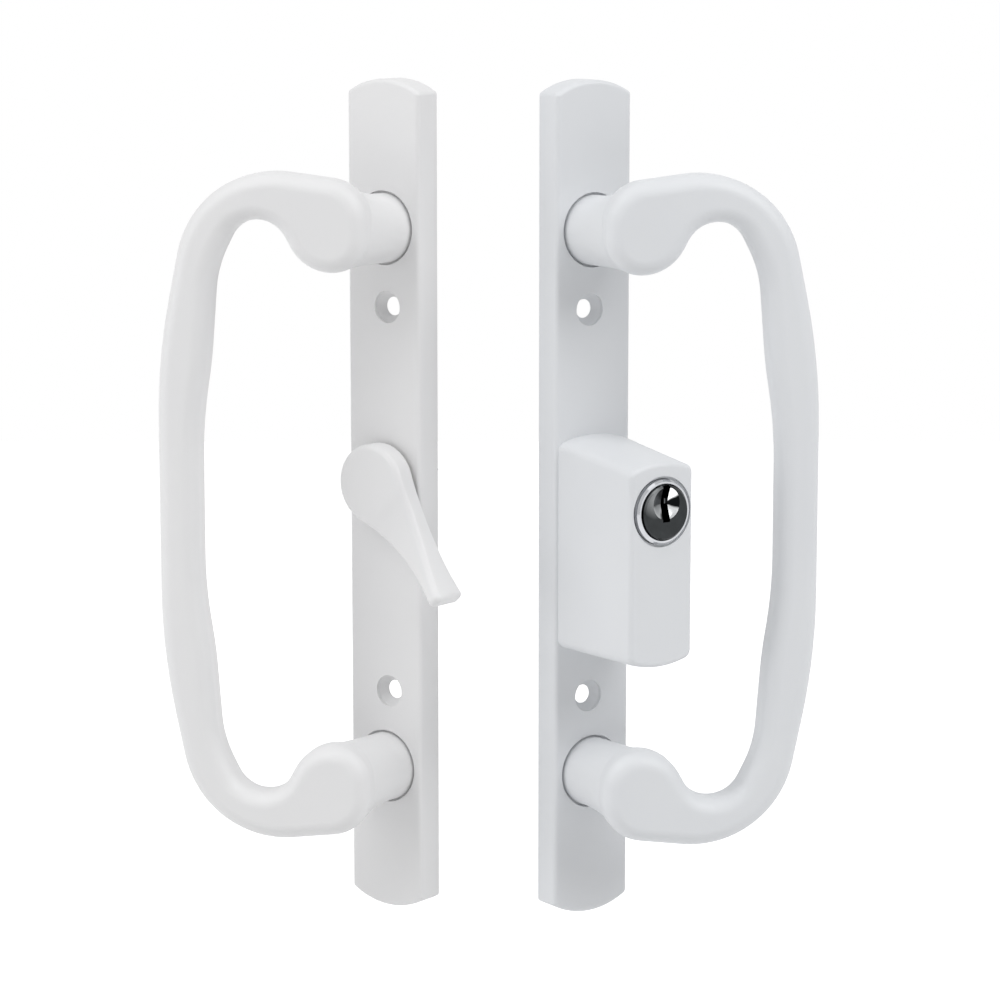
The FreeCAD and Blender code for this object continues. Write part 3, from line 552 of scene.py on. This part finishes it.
# %% Coil helper
def plain_mesh(piece):
    """Swap a piece's live modifiers for the mesh they make."""
    graph = bpy.context.evaluated_depsgraph_get()
    mesh = bpy.data.meshes.new_from_object(piece.evaluated_get(graph), depsgraph=graph)
    piece.modifiers.clear()
    old = piece.data
    piece.data = mesh
    if old.users == 0:
        bpy.data.meshes.remove(old)


def wind(name, core, sharp_degrees, **sizes):
    """Piece with a row of coils on a core mesh, as a plain mesh."""
    piece = bpy.data.objects.new(name, core)
    scene.collection.objects.link(piece)
    coils = piece.modifiers.new("coils", "NODES")
    coils.node_group = coil_tree
    for label, value in sizes.items():
        coils[coil_input[label.replace("_", " ")].identifier] = value
    plain_mesh(piece)
    mesh = piece.data
    mesh.name = name
    mesh.polygons.foreach_set("use_smooth", [True] * len(mesh.polygons))
    mesh.set_sharp_from_angle(angle=math.radians(sharp_degrees))
    return piece


def middle_of(node):
    """Middle of a node's box."""
    low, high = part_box(node)
    return (Vector(low) + Vector(high)) / 2


print("first spring's middle", tuple(round(c, 4) for c in middle_of("pin_spring_1")))

# %% [markdown]
# ## Springs of the pins
# Each driver pin is pushed up by a spring of 0.3 mm wire, wound in five turns that are 2.5 mm across.
# The row starts and ends where the solids of the first and the last spring stand.

# %% Springs
SPRING_RADIUS = 1.25 * MM
SPRING_WIRE = 0.15 * MM
SPRING_TURNS = 5.0
springs = ["pin_spring_%d" % i for i in range(1, 6)]
low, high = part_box(springs[0])
coil_height = high[2] - low[2] - 2 * SPRING_WIRE
first = middle_of(springs[0]) - Vector((0, 0, coil_height / 2))
step = (middle_of(springs[-1]) - middle_of(springs[0])) / (len(springs) - 1)
pin_springs = wind("pin_springs_wound", bpy.data.meshes.new("pin_springs_core"),
                   sharp_degrees=60.0, First=first, Step=step, Turn=(0, 0, 0), Count=len(springs),
                   Turns=SPRING_TURNS, Height=coil_height, Radius=SPRING_RADIUS, Wire=SPRING_WIRE,
                   Wire_sides=10, Steps_per_turn=24, Finish=zinc)
stand_in(pin_springs, "root", *springs)

# %% [markdown]
# ## Threaded screws
# In the solids a screw's shank is a plain cylinder as wide as the thread's crest. Here the shank is
# drawn in to the thread's root, and the coil tree winds the ridge on it: M5 with 0.8 mm pitch for the
# grips, and 2.8 mm wide with 0.5 mm pitch for the cylinder's retainer.

# %% Draw the shanks in
ON_CREST = 0.02 * MM


def slim_screws(name, nodes, yaw, crest, root):
    """Merged copy of some screws with their shanks drawn in, and each shank's start and length."""
    turn = Matrix.Rotation(yaw, 3, "Z") @ Matrix.Rotation(math.radians(90), 3, "X")
    body = bmesh.new()
    shanks = []
    for node in nodes:
        known = len(body.verts)
        body.from_mesh(frame["nodes"][node].data)
        body.verts.ensure_lookup_table()
        points = [(v, turn.transposed() @ v.co) for v in body.verts[known:]]
        x, y = ((min(q[i] for v, q in points) + max(q[i] for v, q in points)) / 2 for i in (0, 1))
        on_shank = [(v, q) for v, q in points
                    if abs(math.hypot(q.x - x, q.y - y) - crest) < ON_CREST]
        for v, q in on_shank:
            slim = Vector((x + (q.x - x) * root / crest, y + (q.y - y) * root / crest, q.z))
            v.co = turn @ slim
        seat, tip = min(q.z for v, q in on_shank), max(q.z for v, q in on_shank)
        shanks.append((turn @ Vector((x, y, seat)), tip - seat))
    bmesh.ops.remove_doubles(body, verts=body.verts, dist=MERGE_WITHIN)
    mesh = bpy.data.meshes.new(name + "_core")
    body.to_mesh(mesh)
    body.free()
    return mesh, shanks


print("a shank's points lie within", ON_CREST / MM, "mm of its crest")

# %% [markdown]
# ## Wind the threads
# The ridge is a triangle whose three corners lie on a circle of about half a pitch. Its tip comes to
# the crest and its foot sinks a little into the shank, so that no light shows between them. The
# thread starts just ahead of the head and stops a turn before the tip.

# %% Threads
RIDGE_SHARE = 0.55     # radius of the ridge's circle, in pitches
SHOWN_SHARE = 0.9      # share of that radius by which the shank is drawn in
THREAD_START = 0.6     # pitches from the head


def threaded_screws(name, nodes, yaw, crest, pitch):
    """Screws of one size on one half, wound with their thread."""
    ridge = RIDGE_SHARE * pitch
    core, shanks = slim_screws(name, nodes, yaw, crest, crest - SHOWN_SHARE * ridge)
    start, length = shanks[0]
    outward = Vector((math.sin(yaw), -math.cos(yaw), 0))
    turns = math.floor((length - pitch) / pitch)
    first = start + outward * THREAD_START * pitch
    step = shanks[-1][0] - start
    piece = wind(name, core, sharp_degrees=35.0, First=first, Step=step,
                 Turn=(math.radians(90), 0, yaw), Count=len(nodes), Turns=float(turns),
                 Height=turns * pitch, Radius=crest - ridge, Wire=ridge, Wire_sides=3,
                 Steps_per_turn=24, Finish=zinc)
    stand_in(piece, "root", *nodes)


for half, yaw in (("inside", inside_yaw), ("outside", outside_yaw)):
    threaded_screws(half + "_grip_screws_threaded",
                    [half + "_grip_screw_upper", half + "_grip_screw_lower"],
                    yaw, crest=2.5 * MM, pitch=0.8 * MM)
threaded_screws("retainer_screws_threaded", ["retainer_screw_left", "retainer_screw_right"],
                outside_yaw, crest=1.4 * MM, pitch=0.5 * MM)

# %% [markdown]
# ## The small turned and stamped pieces
# Pins, clips, bush, washer and tailpieces keep their solids' form. Each gets a merged and smooth copy
# as the castings did, so that its round sides look round when the handle is taken apart.

# %% Smooth the rest
body_of = {node: body for body, nodes in frame["record"]["behaviour"]["bodies"].items()
           for node in nodes}
small = [node for node in sorted(frame["nodes"])
         if node not in CASTINGS and "screw" not in node and not node.startswith("pin_spring")]
for node in small:
    stand_in(smooth_copy(node, node + "_finished"), body_of[node], node)
print("smoothed", len(small), "small pieces")

# %% [markdown]
# ## Light, floor and camera
# The set is photographed on white with large soft lamps. The floor and the world are pale, and
# white to the camera and to shiny metal, so that the background stays clean while the lamps stay
# at a plain level and the coat's own colour shows.

# %% World and floor
world = bpy.data.worlds.new("studio")
scene.world = world
world.use_nodes = True
tree = world.node_tree
tree.nodes.clear()
rays = tree.nodes.new("ShaderNodeLightPath").outputs
direct = add_node(tree, "ShaderNodeMath",
                  {0: rays["Is Camera Ray"], 1: rays["Is Transmission Ray"]}, operation="MAXIMUM")
seen = add_node(tree, "ShaderNodeMath", {0: direct.outputs[0], 1: rays["Is Glossy Ray"]},
                operation="MAXIMUM")
room = add_node(tree, "ShaderNodeBackground", {"Color": to_linear("#F3F3F4"), "Strength": 0.42})
white = add_node(tree, "ShaderNodeBackground", {"Color": (1, 1, 1, 1), "Strength": 1.0})
pick = add_node(tree, "ShaderNodeMixShader", {0: seen.outputs[0], 1: room.outputs[0],
                                              2: white.outputs[0]})
add_node(tree, "ShaderNodeOutputWorld", {"Surface": pick.outputs[0]})

FLOOR_BELOW = 60 * MM
FLOOR_REACH = 1.2
floor_height = cad_box[0][2] - FLOOR_BELOW
floor_mesh = bpy.data.meshes.new("floor")
floor_mesh.from_pydata([(x * FLOOR_REACH, y * FLOOR_REACH, floor_height)
                        for x, y in ((-1, -1), (1, -1), (1, 1), (-1, 1))], [], [(0, 1, 2, 3)])
floor = bpy.data.objects.new("floor", floor_mesh)
scene.collection.objects.link(floor)
material, tree, output, place = new_material("pale_floor")
rays = tree.nodes.new("ShaderNodeLightPath").outputs
lit = add_node(tree, "ShaderNodeBsdfDiffuse", {"Color": to_linear("#F4F4F4")})
glow = add_node(tree, "ShaderNodeEmission", {"Color": (1, 1, 1, 1), "Strength": 0.62})
both = add_node(tree, "ShaderNodeAddShader", {0: lit.outputs[0], 1: glow.outputs[0]})
seen = add_node(tree, "ShaderNodeMath", {0: rays["Is Camera Ray"], 1: rays["Is Glossy Ray"]},
                operation="MAXIMUM")
mix = add_node(tree, "ShaderNodeMixShader", {0: seen.outputs[0], 1: lit.outputs[0],
                                             2: both.outputs[0]})
tree.links.new(mix.outputs[0], output.inputs["Surface"])
floor_mesh.materials.append(material)
print("floor at", round(floor_height, 4))

# %% [markdown]
# ## Soft lamps
# Two large lamps high on either side, a weak one above and one low on the left copy the light of
# the photograph: tops and left flanks are lightest, undersides and the plates beneath the stubs
# fall into a soft shade. Their strengths were fitted so that the mix comes nearest to the photograph's greys.

# %% Lamps
def soft_lamp(name, place, aim, size, power):
    """Square area lamp that faces a point."""
    data = bpy.data.lights.new(name, "AREA")
    data.size = size
    data.energy = power
    lamp = bpy.data.objects.new(name, data)
    lamp.location = place
    lamp.rotation_euler = (Vector(aim) - Vector(place)).to_track_quat("-Z", "Y").to_euler()
    scene.collection.objects.link(lamp)
    return lamp


middle = key_point + Vector((-23.7, 2.9, -1.5)) * MM    # between the halves, where the photo aims
soft_lamp("lamp_above", (0.05, -0.25, 1.1), middle, size=0.9, power=1.8)
soft_lamp("lamp_left_high", (-0.8, -0.5, 0.95), middle, size=0.8, power=5.4)
soft_lamp("lamp_right_high", (0.9, -0.55, 0.85), middle, size=0.8, power=8.0)
soft_lamp("lamp_left_side", (-1.25, -0.25, 0.2), middle, size=0.8, power=3.8)

# %% [markdown]
# ## Camera
# A camera fitted to both plates of the photograph stands 0.9 metres away and looks down by 9.6
# degrees, with a long lens.

# %% Camera
DISTANCE = 0.9
TILT = math.radians(9.6)
camera_data = bpy.data.cameras.new("camera")
camera_data.lens = 126.4
camera_data.sensor_width = 36.0
camera = bpy.data.objects.new("camera", camera_data)
scene.collection.objects.link(camera)
camera.location = middle + DISTANCE * Vector((0, -math.cos(TILT), math.sin(TILT)))
camera.rotation_euler = (middle - camera.location).to_track_quat("-Z", "Y").to_euler()
scene.camera = camera
scene.view_settings.view_transform = "Standard"
print("camera at", tuple(round(c, 3) for c in camera.location))
